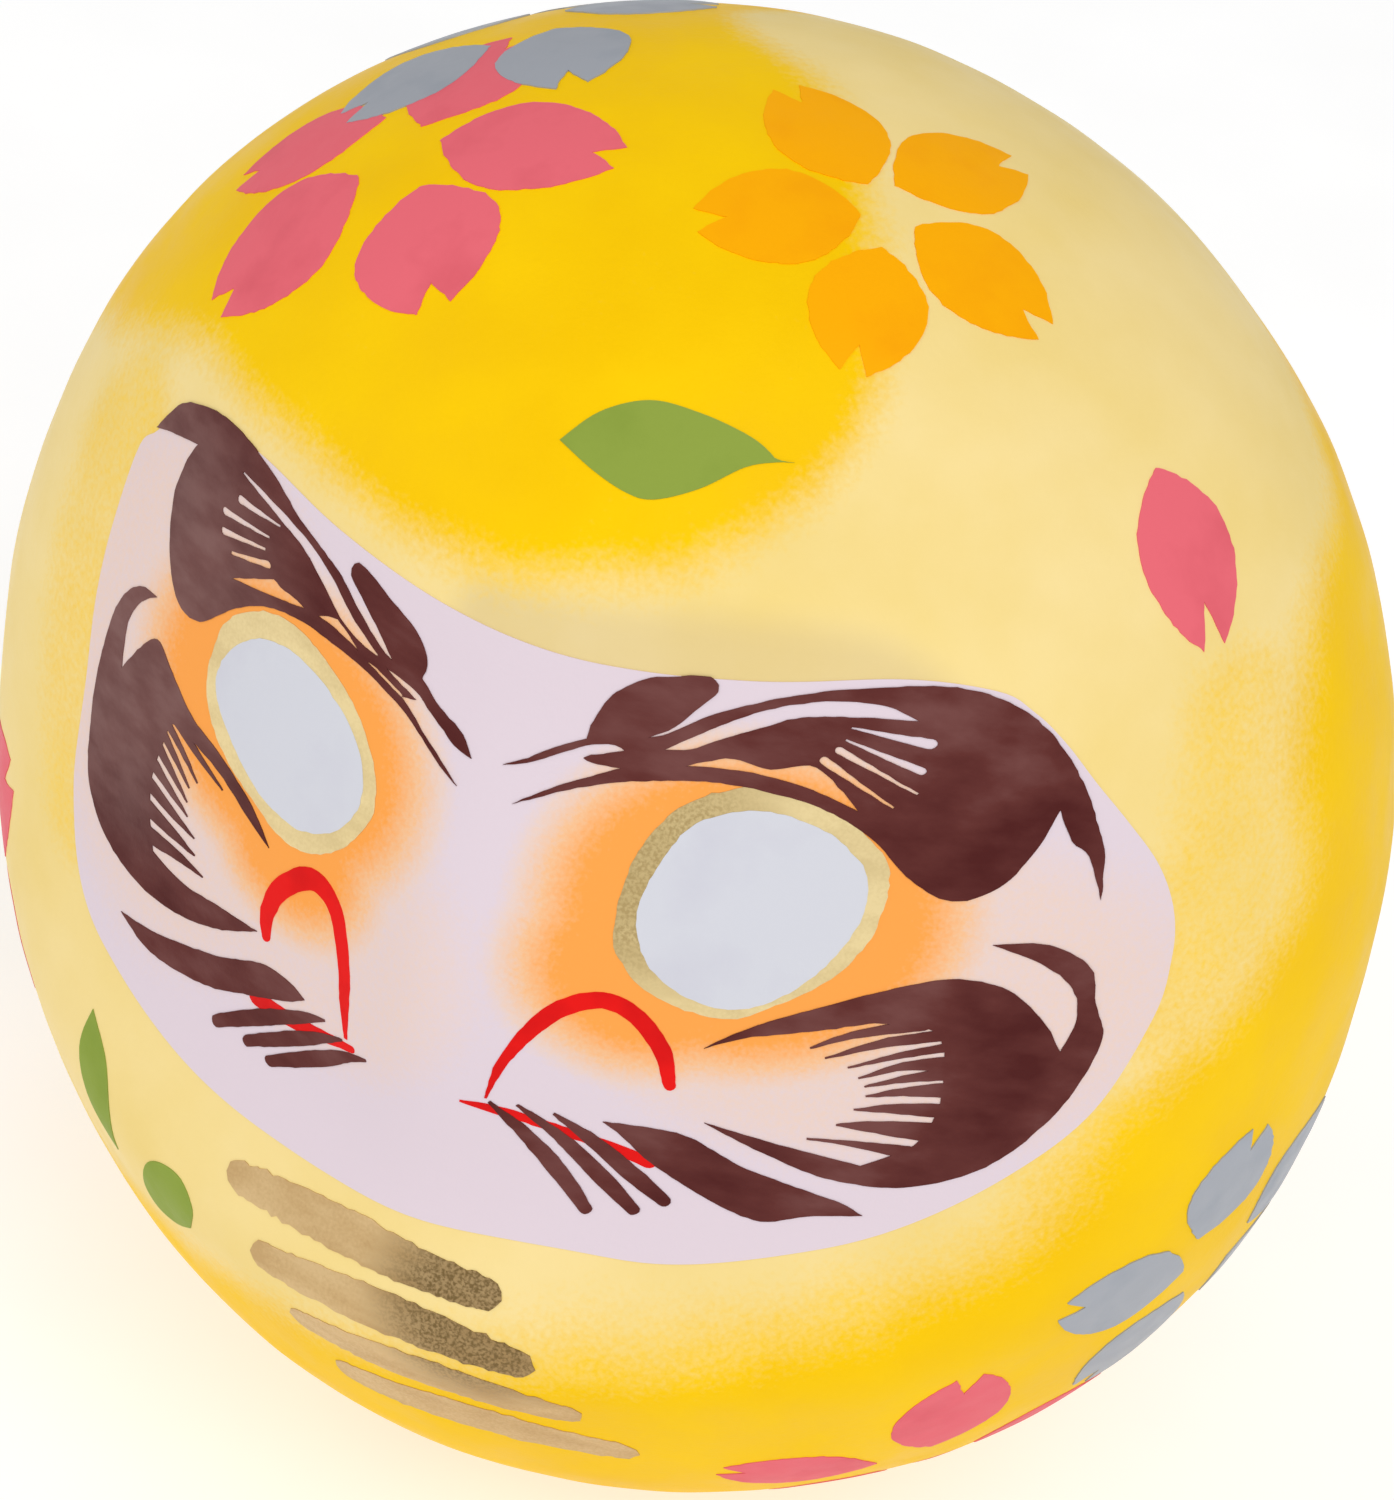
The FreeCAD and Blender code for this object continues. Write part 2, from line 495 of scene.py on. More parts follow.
def face_paint():
    """Pinkish white with a soft orange glow sprayed round the eyes."""
    s = Shader("face_paint", FACE_WHITE, 0.4)
    glow = s.attribute("glow")
    speckle = s.math("MULTIPLY", s.math("SUBTRACT", s.noise(0.6, 2), 0.5), s.span(glow, 0, 0.4, 0.1, 0.4))
    amount = s.math("ADD", glow, speckle)
    s.set("Base Color", s.ramp(amount, [(0.02, FACE_WHITE), (0.16, FACE_PEACH), (0.5, GLOW_FADE),
                                        (0.92, GLOW_ORANGE)]))
    s.set("Roughness", s.span(s.noise(9, 3), 0.3, 0.7, 0.34, 0.46))
    s.bump(s.noise(0.9, 5), 0.04)
    return s.material


def brown_paint():
    """Dark brown brushed so thinly that it is streaked, with a painted sheen lightening the left brow."""
    s = Shader("brown_paint", (88, 42, 40), 0.4)
    washes = s.noise(24, 2)
    streaks = s.noise(4, 4, stretch=(0.5, 1, 1.3))
    both = s.math("ADD", s.math("MULTIPLY", washes, 0.7), s.math("MULTIPLY", streaks, 0.3))
    brown = s.ramp(both, [(0.36, (78, 31, 30)), (0.5, (95, 47, 44)), (0.64, (113, 69, 66))])
    # Painted sheen: near the left brow the brown is mixed toward a lighter tone, standing in for light caught
    # on the paint.
    painted_sheen = s.math("MULTIPLY", s.near((-62, -50, 130), 18, 42), s.span(streaks, 0.3, 0.7, 0.35, 0.6))
    s.set("Base Color", s.shade(painted_sheen, brown, linear((136, 104, 100))))
    s.set("Roughness", s.span(streaks, 0.3, 0.7, 0.46, 0.36))
    s.bump(s.noise(0.8, 4), 0.04)
    return s.material


def flat_paint(name, colour, dark, roughness=0.5, metallic=0.0):
    """Opaque brushed paint that pools a little darker in places."""
    s = Shader(name, colour, roughness)
    s.set("Metallic", metallic)
    pools = s.noise(11, 4)
    s.set("Base Color", s.ramp(pools, [(0.25, dark), (0.5, colour)]))
    s.set("Roughness", s.span(s.noise(4, 3), 0.3, 0.7, roughness - 0.06, roughness + 0.06))
    s.bump(s.noise(1.0, 4), 0.04)
    return s.material


def gold_paint(name, light, dark, darker_tone, darker_place, darker_reach):
    """Metal powder paint, smooth where it is thick, and darker and grainy round one given place."""
    s = Shader(name, light, 0.4)
    s.set("Metallic", 0.55)
    grain = s.noise(0.45, 4)
    brushed = s.noise(6, 3, stretch=(0.5, 1, 1.6))
    both = s.math("ADD", s.math("MULTIPLY", grain, 0.25), s.math("MULTIPLY", brushed, 0.75))
    thick = s.ramp(both, [(0.36, dark), (0.6, light)])
    # Round one given place the gold is mixed toward a darker, grainy tone.
    patch = s.near(darker_place, 0.4 * darker_reach, darker_reach)
    darkening = s.math("MULTIPLY", patch, s.span(grain, 0.35, 0.65, 0.5, 1.0))
    s.set("Base Color", s.shade(darkening, thick, linear(darker_tone)))
    s.set("Roughness", s.span(grain, 0.3, 0.7, 0.5, 0.36))
    s.bump(grain, 0.04)
    return s.material


def paper_material(name, light, dark, fibre=3.0):
    """Felted fibres of pasted or moulded paper."""
    s = Shader(name, light, 0.85)
    fibres = s.noise(fibre, 6)
    s.set("Base Color", s.ramp(fibres, [(0.3, dark), (0.65, light)]))
    s.bump(s.noise(fibre / 2, 6), 0.2)
    return s.material


def clay_material():
    s = Shader("pressed_clay", (150, 110, 82), 0.9)
    s.set("Base Color", s.ramp(s.noise(8, 6), [(0.3, (126, 90, 66)), (0.7, (168, 126, 94))]))
    s.bump(s.noise(1.5, 6), 0.3)
    return s.material


def glue_material():
    s = Shader("hide_glue", (176, 120, 52), 0.25)
    s.set("Base Color", s.ramp(s.noise(6, 4), [(0.3, (146, 92, 34)), (0.7, (196, 142, 70))]))
    s.bump(s.noise(4, 3), 0.2)
    return s.material


# ---------------------------------------------------------------- sprayed zones

def round_chart(points):
    """Each point's angle away from straight ahead, in degrees, laid out the way it lies from the front."""
    away = np.array(points) - np.array(MIDDLE)
    away /= np.linalg.norm(away, axis=1)[:, None]
    angle = np.degrees(np.arccos(np.clip(-away[:, 1], -1, 1)))
    flat = np.hypot(away[:, 0], away[:, 2]) + 1e-9
    return angle * away[:, 0] / flat, angle * away[:, 2] / flat


def distance_to(x, y, sides):
    """How far each point lies from the nearest of the sides."""
    nearest = np.full(len(x), 1e9)
    for a, b in sides:
        side = b - a
        t = np.clip(((x - a.x) * side.x + (y - a.y) * side.y) / side.length_squared, 0, 1)
        nearest = np.minimum(nearest, np.hypot(x - a.x - t * side.x, y - a.y - t * side.y))
    return nearest


def depth_inside(x, y, outline):
    """How far each point lies within the closed outline. Points outside it have a negative depth."""
    sides = list(zip(outline, outline[1:] + outline[:1]))
    odd = np.zeros(len(x), bool)
    for a, b in sides:
        if a.y != b.y:
            odd ^= ((a.y > y) != (b.y > y)) & (x < (b.x - a.x) * (y - a.y) / (b.y - a.y) + a.x)
    nearest = distance_to(x, y, sides)
    return np.where(odd, nearest, -nearest)


# The cream band round the face, in degrees away from straight ahead. The rest is strong yellow.
# Its edge was read from the picture's colours and then moved.
CREAM = [(-70, 38), (-62, 41), (-55, 44), (-48, 46.5), (-41, 48), (-31, 47), (-15, 45), (-3, 45.2),
         (5, 47), (12, 50), (19, 57), (21, 66), (15, 79), (2, 92), (-18, 100), (-6, 114), (22, 120),
         (52, 106), (70, 84), (75, 67), (70, 52), (70, 38), (74, 25), (69, 12), (61, 2), (55, -11),
         (40, -20), (27, -24.5), (13, -28), (-2, -33), (-30, -40), (-58, -40), (-78, -25), (-86, 0),
         (-82, 27)]
HOOD_FADE = 3.4            # degrees from the edge of the cream to full yellow, up on the hood
BODY_FADE = 7.0            # the same, round the side and below

# The middle line and the strength of each light pass of the spray beside the face
THIN_SPRAY = [([(-50, 38), (-54, 27), (-54, 15), (-52, 5), (-49, -3)], 0.42),
              ([(64, 44), (67, 28), (66, 14)], 0.44)]
PASS_WIDTH = 7.5           # degrees from the middle of a light pass to where it is half gone

# Painted shade: the cream is greyed along the fold just above the face, where the surface turns away from the
# light
PAINTED_SHADE_LINE = [(-3, 41), (7, 42), (15, 43.5), (23, 44.5), (29, 44.5), (34, 42.5), (38, 39)]
PAINTED_SHADE_WIDTH = 3.6           # degrees from its middle to where it is half gone
PAINTED_SHADE_GREY = (170, 153, 138)
PAINTED_SHADE_STRENGTH = 0.25


def beside(x, y, line, width):
    """1 along the open line, falling to a half at width degrees to each side."""
    nearest = distance_to(x, y, zip(line, line[1:]))
    fall = np.clip(1.5 - nearest / width, 0, 1)
    return fall * fall * (3 - 2 * fall)


def add_layer(piece, name, amount):
    layer = piece.data.attributes.new(name, "FLOAT", "POINT")
    layer.data.foreach_set("value", amount.astype(np.float32))


def add_spray(piece, points):
    """Where the strong yellow is sprayed, and where the painted shade above the face lies."""
    x, y = round_chart(points)
    depth = depth_inside(x, y, loop(CREAM))
    fade = np.interp(x - y, (-45, 35), (HOOD_FADE, BODY_FADE))
    amount = np.clip(0.5 - depth / (2 * fade), 0, 1)
    for line, strength in THIN_SPRAY:
        amount = np.maximum(amount, strength * beside(x, y, smooth_line(line), PASS_WIDTH))
    add_layer(piece, "spray", amount)
    add_layer(piece, "painted_shade", beside(x, y, smooth_line(PAINTED_SHADE_LINE), PAINTED_SHADE_WIDTH))


# The orange glow round each eye: middle x, middle z, half width, half height and strength of each puff
GLOWS = [(33, 127.5, 23.5, 21.5, 1.0), (24, 118, 15, 14, 1.0), (48, 118, 34, 24, 0.14),
         (-31, 128, 22.5, 19, 1.0), (-25, 115, 12.5, 11, 1.0), (-46, 122, 26, 36, 0.14),
         (-18, 108, 22, 20, 0.12)]
GLOW_FADE_WIDTH = 12.0     # millimetres from full orange to none


def add_glow(piece):
    """The orange is full near the eye and falls to half at the edge of its oval."""
    count = len(piece.data.vertices)
    places = np.zeros(3 * count, np.float32)
    piece.data.vertices.foreach_get("co", places)
    places = places.reshape(-1, 3) / MM
    amount = np.zeros(count)
    for x, z, half_width, half_height, strength in GLOWS:
        out = np.hypot((places[:, 0] - x) / half_width, (places[:, 2] - z) / half_height)
        beyond = (out - 1) * min(half_width, half_height)
        puff = np.clip(0.5 - beyond / GLOW_FADE_WIDTH, 0, 1)
        amount = np.maximum(amount, strength * puff ** 2 * (3 - 2 * puff))
    add_layer(piece, "glow", amount)


# ---------------------------------------------------------------- the face, drawn from the front as x and z

# The points of each outline were picked on the picture, and worked out in millimetres on this body.
FACE_EDGE = [(-63, 145), (-60, 150), (-55, 156.5), (-41, 159), (-27, 157.5), (-10, 156), (8, 156),
             (27, 158.5), (43, 161), (53, 160), (57.6, 157.4), (61.4, 153.8), (65.5, 148.9), (70, 143.4),
             (74.5, 137), (77.4, 130.5), (78.6, 124),
             (78.5, 116), (75, 103), (67.5, 93), (57, 84.5), (45, 79), (32, 75), (19.5, 74), (0, 72.5),
             (-16, 72.5), (-34, 74), (-50, 79), (-59, 85), (-63.5, 97), (-64, 112), (-65, 128)]

RIGHT_EYE = [(21.1, 123.8), (21.3, 129.9), (24.3, 137.6), (29.4, 141), (34.4, 141.6), (39.8, 139.8),
             (44, 136.3), (45.4, 132.2), (44.9, 126.8), (42, 120.8), (37.9, 116.4), (33.5, 114.6),
             (28.6, 115.4), (23.8, 118.5)]
RIGHT_RIM = [(18.6, 123.2), (18.5, 129.2), (20, 135.6), (23.7, 140.9), (29.9, 144.5), (35.7, 143.9),
             (41.6, 141.8), (46.2, 137.6), (47.5, 133), (46.9, 126.4), (43.8, 120.4), (38, 115.5),
             (33.9, 113.3), (28.8, 113.5), (23.1, 115.9), (19.6, 119.6)]
LEFT_EYE = [(-40.8, 125.7), (-41.3, 130.8), (-38, 135.7), (-33.8, 138.1), (-27.8, 138), (-21.3, 135.1),
            (-17.4, 130.6), (-16.4, 125.8), (-18.6, 121), (-22.3, 118.4), (-26.6, 117.5), (-33.2, 119.4)]
LEFT_RIM = [(-42.9, 125.8), (-43, 132), (-41.7, 136), (-38.5, 139.5), (-33.8, 141.7), (-28.7, 141.4),
            (-22.1, 138.2), (-17.4, 133.9), (-14.8, 129.3), (-14.3, 124.9), (-16.8, 119.9), (-21, 116.2),
            (-26, 115), (-31.7, 116.8), (-39, 120.5)]

RIGHT_BROW = [
    [(1.1, 139.4), (3.9, 141.3), (5.7, 142.8), (7.9, 144.4)],
    [(10.3, 145.9), (10.4, 147.8), (11.8, 151.9), (13.5, 154.1), (16.1, 156.2), (18.9, 157.1), (21.4, 157.9),
     (23.4, 157.9), (24.1, 156.4), (22.4, 153.9), (20.1, 150.5), (18.8, 149.3)],
    [(17.2, 148.2), (18.9, 149), (21.2, 150.9), (24.3, 153.4), (28.9, 156), (32, 157.4), (38.2, 159.3),
     (49, 160.4), (57.5, 157), (64, 149.5), (68.2, 141), (69.4, 136)],
    [(69.8, 133.2), (67.4, 139), (65.2, 141.2)],
    [(63, 145.4), (61.8, 140), (59, 134.8), (54.5, 132.6), (49.5, 135), (44.2, 140), (38, 143.2), (32, 144.2),
     (26.5, 144.3), (21.4, 143.3), (15.8, 141.7), (11.3, 139.7), (7.5, 137.6)],
    [(3.4, 135.1), (5.3, 136.7), (8.7, 139.3), (11.7, 141.2), (13.5, 142.4)],
    [(15, 143.3), (13.1, 143.1), (11.5, 143)],
    [(10.4, 143.3), (11.2, 144), (12.5, 144.5)],
    [(14.9, 145.7), (13.7, 146.1), (12, 145.7), (10.3, 145), (8.1, 143.5), (5.9, 141.9), (4, 140.6)],
]
RIGHT_BROW_CUTS = [
    [[(19.4, 147.1), (21.8, 149.2), (24.6, 151.6), (29.1, 154.8), (33, 156.6), (37.4, 157.7), (42.5, 157.6)],
     [(46.2, 156.1), (40.5, 155.9), (33.8, 154.9), (29.6, 152.6), (24.9, 149.7), (22.4, 147.9)]],
    [[(22.2, 145.6), (25, 147), (27.4, 147.9), (31.6, 147.3), (36.6, 148.5)],
     [(42.2, 143.3), (36.8, 145.4), (30.7, 146.4), (26, 146.2)]],
]
RIGHT_BROW_SLITS = [
    [(39.3, 154.4, 0.25), (48, 153.3, 1.4)],
    [(39, 152.7, 0.3), (47.8, 149.7, 1.1)],
    [(38.6, 151.2, 1.0), (48, 146.6, 0.3)],
    [(37.2, 149.6, 1.1), (45.8, 144.4, 0.3)],
]

RIGHT_BEARD = [
    [(60, 127), (66, 127.2), (70.8, 124), (72.3, 119)],
    [(73.9, 115.3), (73.7, 111), (71.5, 103.6), (66, 95.4), (58, 91.3), (49, 91.3), (40.5, 94)],
    [(33.4, 97.2), (43, 95.4)],
    [(51.8, 93.8)],
    [(53.8, 95), (57, 97.5), (58.6, 102), (58.6, 107), (57.6, 112.5), (55.6, 114.8)],
    [(49.6, 115), (42, 112.6), (36, 110.8)],
    [(31.7, 108.4), (37, 112.8), (46, 117.7), (52.4, 120.6), (57.5, 122), (63, 120.8), (67.5, 116.5)],
    [(70, 112.2), (70.8, 116.6), (69.5, 121.2), (65.5, 124.7)],
]
RIGHT_BEARD_TEETH = [
    [(45.2, 97, 0.2), (50, 97, 0.8), (56.5, 96.4, 1.9)],
    [(48.1, 99.6, 0.2), (52.5, 99.8, 1.8), (59, 99.6, 3.0)],
    [(49.6, 102.1, 0.2), (54, 102.8, 1.4), (60, 103, 2.2)],
    [(50.6, 104.3, 0.2), (54.5, 105.4, 1.2), (60, 106.2, 2.4)],
    [(50.3, 105.7, 0.2), (54.2, 107.3, 1.0), (59, 108.6, 2.0)],
    [(49.4, 106.9, 0.2), (54, 109.2, 1.2), (59, 110, 2.2)],
    [(48, 108.3, 0.2), (53, 110.6, 0.8), (59, 112.6, 1.4)],
    [(45.3, 109.3, 0.2), (51, 112.2, 1.2), (58, 114.2, 1.6)],
    [(43.4, 110.5, 0.2), (47.6, 113, 1.0), (55, 115.4, 1.8)],
]
RIGHT_CHIN = [
    [(21.8, 94.5), (27.2, 94.9), (32.2, 94.5), (38.5, 91.4), (46, 89.3), (50.5, 88)],
    [(53.3, 86.4), (47.2, 85.4), (42.1, 83.7), (35.6, 85.6), (28.2, 89.6), (24.4, 92.8)],
]
RIGHT_MOUSTACHE = [
    [(8.3, 94.3, 0.4), (12, 91, 1.7), (17, 86, 2.4), (21.6, 80.6, 1.7)],
    [(11.5, 94.5, 0.4), (17, 90.8, 1.7), (22.6, 86, 2.4), (27.2, 82, 1.7)],
    [(15.9, 94.2, 0.4), (21, 91.2, 1.9), (26.4, 87.2, 2.4), (30.6, 84.2, 1.7)],
]
RIGHT_MOUTH = [(4.9, 93.6, 0.3), (9, 93.2, 1.3), (17, 91.8, 1.4), (23, 90.8, 1.6), (28, 89.6, 1.8)]
RIGHT_NOSTRIL = [(7.8, 94.8, 0.3), (9.4, 101.5, 1.4), (13.4, 109, 2.3), (18.5, 112.6, 2.4), (23, 111.7, 2.3),
                 (27, 107.2, 2.1), (28.7, 102, 1.5)]

LEFT_BROW = [
    [(-60.2, 150.3), (-56, 156.2), (-48, 159.3), (-39.3, 158.3), (-33.4, 155.4), (-28.2, 153.2),
     (-25.6, 151.9), (-22.1, 149), (-18.4, 146.2)],
    [(-16.3, 145.3), (-18.8, 148), (-22.1, 151), (-24.3, 152.9), (-24, 154.6), (-22.5, 155), (-18.3, 153.1),
     (-13.6, 150.7), (-11.5, 147.8)],
    [(-11.7, 145.1), (-8.6, 142.8), (-4.8, 140.9)],
    [(-3, 138.5), (-5.5, 139.1), (-9.4, 141.4), (-12.4, 143.2)],
    [(-17, 144), (-15, 143.1), (-13, 142.4)],
    [(-12, 142.1), (-13.2, 141.7)],
    [(-14.2, 141.5), (-12.1, 140.1), (-9.7, 138.3), (-7.6, 137)],
    [(-3.9, 134.5), (-6.8, 135.8), (-9.5, 137.5), (-11.8, 139), (-14, 140.1), (-19.4, 142), (-25.3, 142.9),
     (-30.6, 143), (-36.3, 141.5), (-41.3, 138), (-46.1, 133.2), (-50.4, 133.2), (-53.4, 138.4), (-54.4, 145),
     (-53.6, 150)],
    [(-52.2, 153.6), (-56.4, 152)],
]
LEFT_BROW_CUTS = [
    [[(-42.2, 141.8), (-39.4, 143.5)], [(-35.6, 145.7), (-33.6, 145.3), (-31.5, 145.2)],
     [(-30.1, 144.8), (-32.6, 144.2), (-36.4, 143.2)]],
    [[(-28, 145.1), (-26.5, 145.9)], [(-25, 146.3), (-23.1, 145.3)],
     [(-21.2, 144), (-23.6, 144.6), (-25.7, 145)]],
]
LEFT_BROW_SLITS = [
    [(-43.6, 155.4, 0.3), (-38.5, 154.6, 1.0), (-32, 152.9, 1.5), (-27.8, 150.4, 2.0), (-24.2, 147.5, 2.0),
     (-21, 145.8, 1.3), (-18.4, 144.8, 0.3)],
    [(-19.5, 143.3, 0.2), (-16.8, 142.5, 0.5), (-14, 141.5, 0.4)],
    [(-43.1, 152, 1.1), (-36.1, 152.7, 0.3)],
    [(-45.3, 149.1, 1.0), (-37.5, 150.3, 0.3)],
    [(-44.9, 146.6, 0.9), (-37.8, 148.5, 0.4)],
    [(-43.1, 144.8, 0.4), (-36.9, 146.9, 0.9)],
]

LEFT_BEARD = [
    [(-54, 131.3), (-57.5, 130.6), (-60.6, 126), (-62, 116.6), (-61.7, 106.5), (-60.6, 100), (-56.5, 95),
     (-50, 92.8), (-42, 93.2), (-34.5, 96)],
    [(-28, 100.1), (-35.2, 99.2), (-41.4, 98.2)],
    [(-47.2, 99), (-48.4, 102.7), (-49.2, 108.4), (-48.4, 114.4), (-47.2, 118)],
    [(-44, 118.3), (-38, 117), (-33, 114.6)],
    [(-28.2, 112.6), (-32.1, 116.2), (-38.5, 119.3), (-44.7, 121.2), (-49.5, 124.5), (-52.6, 126.4),
     (-55.2, 123.6)],
    [(-57.8, 118.8), (-58.2, 125), (-56.6, 129)],
]
LEFT_BEARD_TEETH = [
    [(-38.2, 101.5, 0.2), (-43, 101.5, 1.5), (-49, 100.8, 2.6)],
    [(-40, 103.5, 0.2), (-44, 104, 1.5), (-50, 104.6, 2.6)],
    [(-40.5, 105.8, 0.2), (-45, 106.8, 1.4), (-50, 108, 2.2)],
    [(-42.2, 108, 0.2), (-46, 109.6, 1.2), (-50, 111.2, 2.0)],
    [(-42.6, 109.8, 0.2), (-46, 112, 1.1), (-50, 114.2, 1.8)],
    [(-42.6, 111.9, 0.2), (-46, 114.3, 1.0), (-49.5, 116.4, 1.6)],
    [(-41.4, 113.4, 0.2), (-45, 115.9, 0.9), (-49, 118, 1.4)],
    [(-37.2, 115.2, 0.2), (-42, 117, 1.0), (-47, 119, 1.4)],
]
LEFT_CHIN = [
    [(-51.2, 86.8), (-44.4, 88.2), (-34.1, 92), (-26.9, 95.9), (-22, 96.3)],
    [(-19.2, 95.2), (-22, 93.2), (-28.1, 90), (-35.4, 86.6), (-44.9, 85)],
]
LEFT_MOUSTACHE = [
    [(-32.4, 83, 1.7), (-25.2, 88.4, 2.3), (-19, 92.6, 1.6), (-15.7, 94.2, 0.3)],
    [(-27.2, 83.3, 1.6), (-19.8, 88.6, 2.1), (-15.4, 91.6, 1.4), (-12.6, 93.2, 0.3)],
    [(-23.2, 82.7, 1.6), (-16, 87.8, 2.3), (-11.8, 91, 1.5), (-8.5, 92.8, 0.3)],
]
LEFT_MOUTH = [(-26.8, 90.4, 2.4), (-19.6, 91, 2.2), (-11, 92.8, 1.0)]
LEFT_NOSTRIL = [(-12.1, 93.7, 0.5), (-13, 98.5, 1.5), (-13.9, 104, 2.0), (-16.6, 110.8, 2.3),
                (-21, 112.6, 3.0), (-25.4, 108.4, 2.7), (-26.9, 103.8, 2.3), (-26.6, 100.4, 1.5)]


def face_pieces():
    """The face, bottom layer first."""
    white = face_paint()
    brown = brown_paint()
    red = flat_paint("red_paint", (228, 22, 20), (200, 14, 16), 0.42)
    eye = flat_paint("eye_paint", EYE_WHITE, (203, 203, 213), 0.38)
    gold = gold_paint("rim_gold", (230, 209, 156), (216, 194, 142), (178, 154, 104), (18, -66, 133), 24)
    panel = paint("face_panel", [(front_ray, [loop(FACE_EDGE)], [])], FACE_LAYER, white)
    add_glow(panel)
    for side, eye_line, rim_line in (("right", RIGHT_EYE, RIGHT_RIM), ("left", LEFT_EYE, LEFT_RIM)):
        rim = mottle(loop(rim_line), 1, 0.25)
        white_line = mottle(loop(eye_line), 2, 0.2)
        paint("eye_rim_" + side, [(front_ray, [rim], [])], GOLD_RIM_LAYER, gold)
        paint("eye_white_" + side, [(front_ray, [white_line], [])], EYE_LAYER, eye)
    reds = [stroke(line) for line in (RIGHT_MOUTH, RIGHT_NOSTRIL, LEFT_MOUTH, LEFT_NOSTRIL)]
    paint("mouth_and_nostrils", [(front_ray, [mottle(line, 3) for line in reds], [])], RED_LAYER, red)
    brows = (("right", RIGHT_BROW, RIGHT_BROW_CUTS, RIGHT_BROW_SLITS),
             ("left", LEFT_BROW, LEFT_BROW_CUTS, LEFT_BROW_SLITS))
    for side, edge, cuts, slits in brows:
        cut = [cornered(line) for line in cuts] + [stroke(line) for line in slits]
        paint("brow_" + side, [(front_ray, [mottle(cornered(edge), 4)], [mottle(line, 5) for line in cut])],
              BROWN_LAYER, brown)
    beards = (("right", RIGHT_BEARD, RIGHT_BEARD_TEETH, RIGHT_CHIN, RIGHT_MOUSTACHE),
              ("left", LEFT_BEARD, LEFT_BEARD_TEETH, LEFT_CHIN, LEFT_MOUSTACHE))
    for side, edge, teeth, chin, moustache in beards:
        added = [cornered(edge)] + [stroke(line) for line in teeth]
        paint("beard_" + side, [(front_ray, [mottle(line, 6) for line in added], [])], BROWN_LAYER, brown)
        added = [cornered(chin)] + [stroke(line) for line in moustache]
        paint("moustache_" + side, [(front_ray, [mottle(line, 7) for line in added], [])], BROWN_LAYER, brown)


# ---------------------------------------------------------------- flowers, leaves and gold

def petal(x, y, angle, length, half_width, notch=4.0):
    """A cherry petal that starts at x, y and points away at angle. notch is how deep its tip is cut."""
    shape = [(0.1, 0.42), (0.28, 0.86), (0.48, 1), (0.7, 0.87), (0.88, 0.58)]
    sides = [(along * length, across * half_width) for along, across in shape]
    lobe = (length, 0.24 * half_width)
    arcs = [[(0, 0)] + sides, [lobe], [(length - notch, 0)],
            [(length, -lobe[1])] + [(along, -across) for along, across in reversed(sides)]]
    turn = Matrix.Rotation(math.radians(angle), 2)
    return [turn @ point.to_2d() + Vector((x, y)) for point in cornered(arcs)]


def flower(place, petals):
    """Petals laid on the body round place."""
    return round_ray(place), [mottle(petal(*values), i, 0.25) for i, values in enumerate(petals)], []


def even_petals(spin, start, length, half_width):
    """Five equal petals that start some way from the flower's middle."""
    petals = []
    for i in range(5):
        angle = spin + 72 * i
        x = start * math.cos(math.radians(angle))
        y = start * math.sin(math.radians(angle))
        petals.append((x, y, angle, length, half_width))
    return petals


# Each petal's start x and y, angle, length, half width and, where it differs, notch
ORANGE_PETALS = [(-2.8, 2.2, 144, 20.6, 7.6), (0, 4.2, 60, 20.6, 7.6), (5, -0.5, -5, 20.6, 7.4),
                 (3.2, -6, -72, 18.8, 7.5), (-1.1, -3, -146, 20.6, 7.6)]
CROWN_PINK_PETALS = [(3.9, 3.2, 3, 25.6, 8.1), (5, -4.6, -61, 20, 10.1), (-5.7, -2.4, -135, 25.6, 10.1),
                     (-7.7, 8.4, -168, 25, 7), (-0.5, 6, 84, 22, 8.8)]
CROWN_GREY_PETALS = [(5, -2.5, -60, 19, 8.6), (-2, -7.5, -143, 21, 8), (1, 8, 22, 20, 7.5),
                     (-5, 10, 188, 21, 8), (-2, 14, 100, 20, 8)]
SINGLE_PETAL = (-10.1, 4.5, -26, 22.8, 7.4, 5.8)
SIDE_GREY_PETALS = [(4.7, 9.1, 14, 19, 8.2), (-0.9, 4.9, 121, 22, 8), (-5, -3, 188, 20, 8),
                    (1, -10, -92, 20, 8), (7, -6, -20, 20, 8)]
LOW_PINK_PETALS = [(2.9, 4.1, 52, 23.5, 8.5, 5.5), (-4.6, 5.6, 144, 22.5, 6.5), (-7.5, -4, 208, 20, 8),
                   (-2, -10, 265, 20, 8), (5, -7.5, -33, 20, 8)]

LEAF = [[(-13.4, -4.9), (-10.2, -0.1), (-5.2, 3.3), (0.8, 4.2), (6.6, 4.3), (9.4, 3.9)],
        [(11, 3.3), (12, 3.4)],
        [(13.4, 3.9), (11.4, 2.9), (8.4, 0.7), (4.7, -3.9), (0.4, -7.3), (-3, -7.9), (-8, -6.9)]]
SMALL_LEAF = [[(-9.5, 0), (-3, 3), (4, 2.6)], [(10, 0), (4, -2.8), (-4, -2.8)]]
ROUND_LEAF = [[(-31.2, 50.9), (-34.6, 47.8), (-38.6, 46.8), (-40.4, 50), (-39.4, 56.5), (-36.8, 59),
               (-33, 59), (-30.5, 55.5)]]


def laid(outline, angle):
    """The outline turned by angle."""
    turn = Matrix.Rotation(math.radians(angle), 2)
    return [turn @ point.to_2d() for point in outline]


# Plain gold bands on the belly, one under the other. They stand for nothing and spell nothing.
BAND_COUNT = 4
BAND_START = (-24, 65)     # x and z of the top band's left end
BAND_STEP = (6, -8.5)      # from each band to the next
BAND_LENGTH = 36
BAND_WIDTH = 6.5
BAND_END_WIDTH = 4.5
BAND_BOW = 1.2


